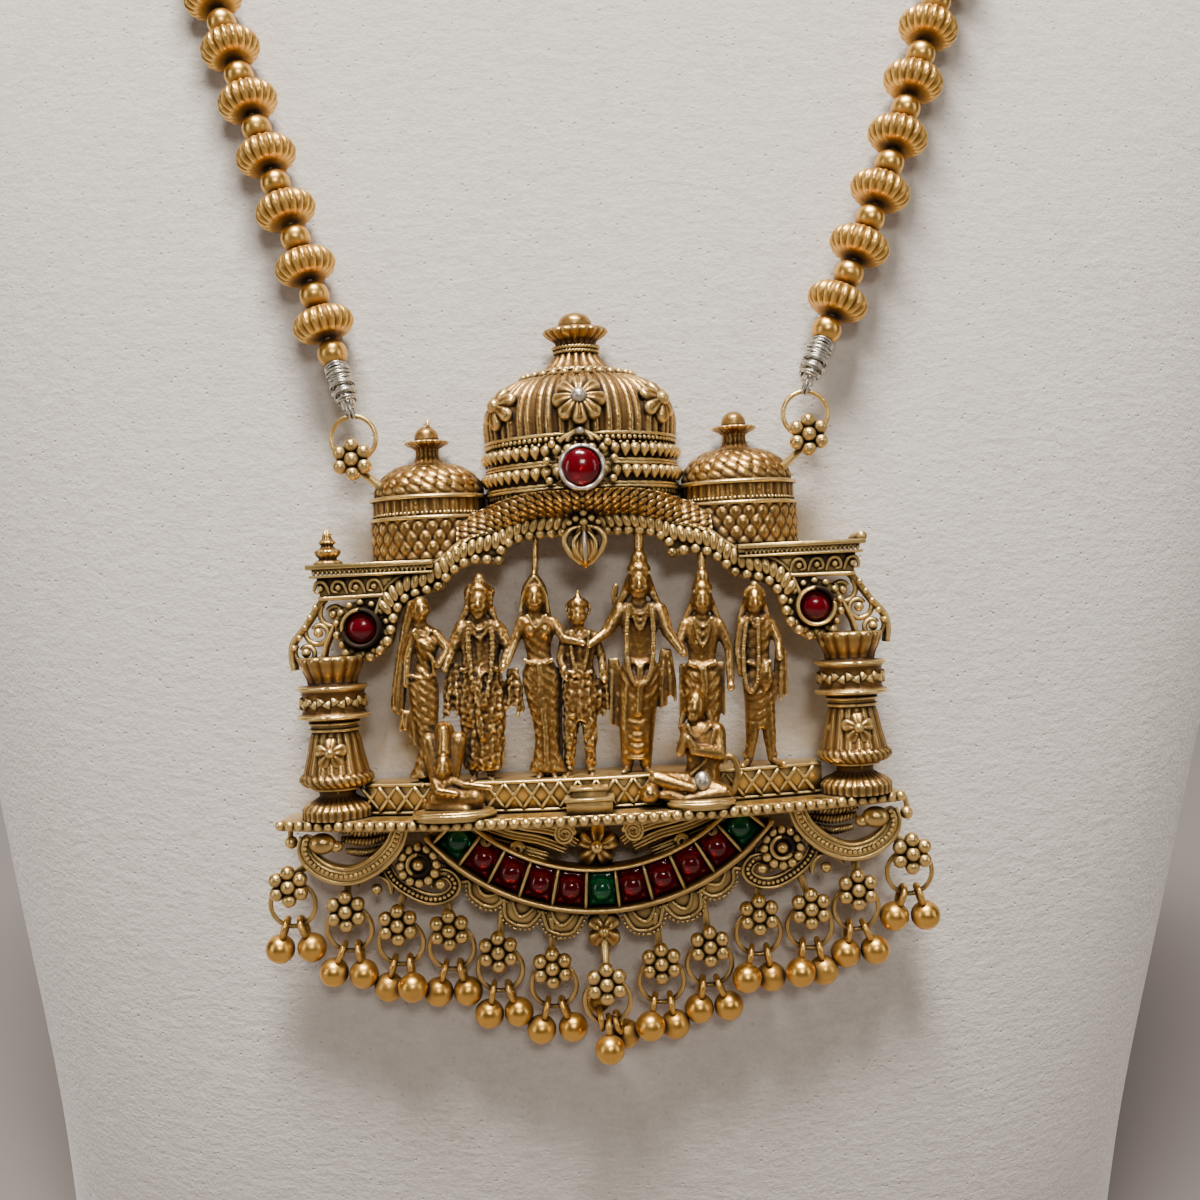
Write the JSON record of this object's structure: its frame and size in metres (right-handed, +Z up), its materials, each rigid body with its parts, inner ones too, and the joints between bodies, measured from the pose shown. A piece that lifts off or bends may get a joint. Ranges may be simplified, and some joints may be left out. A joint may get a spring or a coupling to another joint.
{
  "type": "temple jewellery necklace on a neck bust",
  "caption": "Long bead necklace with a cast temple pendant of domes, arch, pillars and small figures, set with round and square stones and fringed with ball drops, on a plain fabric neck bust.",
  "frame": {"origin": "centre of the flat foot of the neck bust", "axes": "+Z up the bust, +X to the right seen from the front, the chest and the pendant face -Y"},
  "size_m": [0.19, 0.138, 0.28],
  "materials": {
    "bust_fabric": "short-napped pale cloth",
    "antique_gold": "cast, antique gold plate, dark in the recesses and worn bright on the edges",
    "matte_gold": "matte warm gold plate",
    "silver_wire": "thin silver-coloured wire",
    "red_stone": "polished, ruby red",
    "green_stone": "polished, emerald green",
    "thread": "twisted thread"
  },
  "bodies": {
    "root": {"neck_bust": "bust_fabric", "temple_frame": "antique_gold", "ruby_middle": "red_stone", "ruby_left": "red_stone", "ruby_right": "red_stone", "crescent_stone_1": "green_stone", "crescent_stone_2": "red_stone", "crescent_stone_3": "red_stone", "crescent_stone_4": "red_stone", "crescent_stone_5": "red_stone", "crescent_stone_6": "green_stone", "crescent_stone_7": "red_stone", "crescent_stone_8": "red_stone", "crescent_stone_9": "red_stone", "crescent_stone_10": "red_stone", "crescent_stone_11": "green_stone", "drop_1": "matte_gold", "drop_2": "matte_gold", "drop_3": "matte_gold", "drop_4": "matte_gold", "drop_5": "matte_gold", "drop_6": "matte_gold", "drop_7": "matte_gold", "drop_8": "matte_gold", "drop_9": "matte_gold", "drop_10": "matte_gold", "drop_11": "matte_gold", "drop_12": "matte_gold", "drop_13": "matte_gold", "left_link": "antique_gold", "right_link": "antique_gold", "left_wire_wrap": "silver_wire", "right_wire_wrap": "silver_wire", "left_bead_string": "matte_gold", "right_bead_string": "matte_gold", "left_thread": "thread", "right_thread": "thread", "clasp": "matte_gold"}
  },
  "joints": []
}
